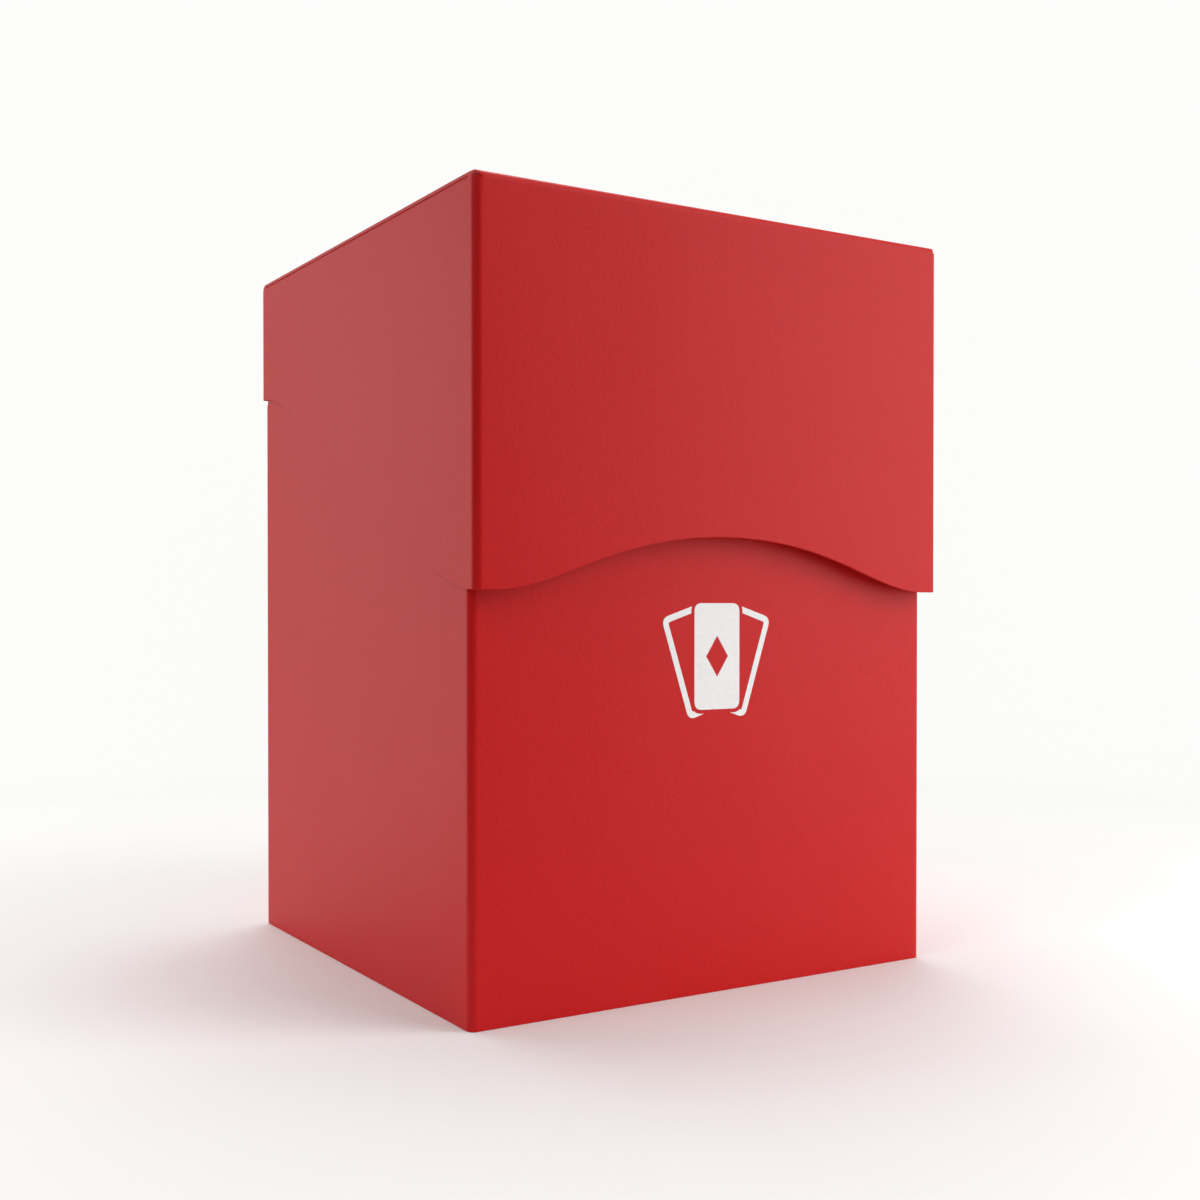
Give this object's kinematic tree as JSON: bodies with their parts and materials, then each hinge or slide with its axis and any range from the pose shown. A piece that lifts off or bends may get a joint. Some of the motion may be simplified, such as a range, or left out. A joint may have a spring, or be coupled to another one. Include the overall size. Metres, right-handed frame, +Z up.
{
  "type": "card deck box",
  "caption": "Flip-top deck box for trading cards: folded plastic sheet body, deep lid hood with a wavy front edge that turns back about a crease in the rear wall, and a loose divider.",
  "frame": {"origin": "middle of the footprint of the closed box, on the surface it stands on; the footprint counts the lid's front, which stands 2.5 mm ahead of the body", "axes": "+Z up; -Y is the front, with the wavy lid edge and the print; +X is the right side seen from the front"},
  "size_m": [0.071, 0.0722, 0.098],
  "materials": {
    "red_sheet": "matte red polypropylene sheet with a fine sand-blast texture",
    "white_print": "white screen-print ink"
  },
  "bodies": {
    "body": {"body_front_panel": "red_sheet", "body_left_panel": "red_sheet", "body_right_panel": "red_sheet", "body_rear_panel": "red_sheet", "body_seam_flap": "red_sheet", "base_panel": "red_sheet", "base_front_flap": "red_sheet", "base_left_flap": "red_sheet", "base_right_flap": "red_sheet", "hinge_web": "red_sheet", "emblem_left_card": "white_print", "emblem_front_card": "white_print", "emblem_right_card": "white_print"},
    "lid": {"lid_top_panel": "red_sheet", "lid_front_panel": "red_sheet", "lid_left_panel": "red_sheet", "lid_right_panel": "red_sheet", "lid_rear_panel": "red_sheet", "lid_left_top_tab": "red_sheet", "lid_right_top_tab": "red_sheet", "lid_left_rear_tab": "red_sheet", "lid_right_rear_tab": "red_sheet"},
    "divider": {"card_divider": "red_sheet"}
  },
  "joints": [
    {"name": "lid_hinge", "type": "hinge", "parent": "body", "child": "lid", "pos_m": [0, 0.0361, 0.08], "axis": [-1, 0, 0], "range_deg": [0, 170]},
    {"name": "divider_slide", "type": "slide", "parent": "body", "child": "divider", "axis": [0, 1, 0], "range_m": [-0.065, 0]}
  ]
}
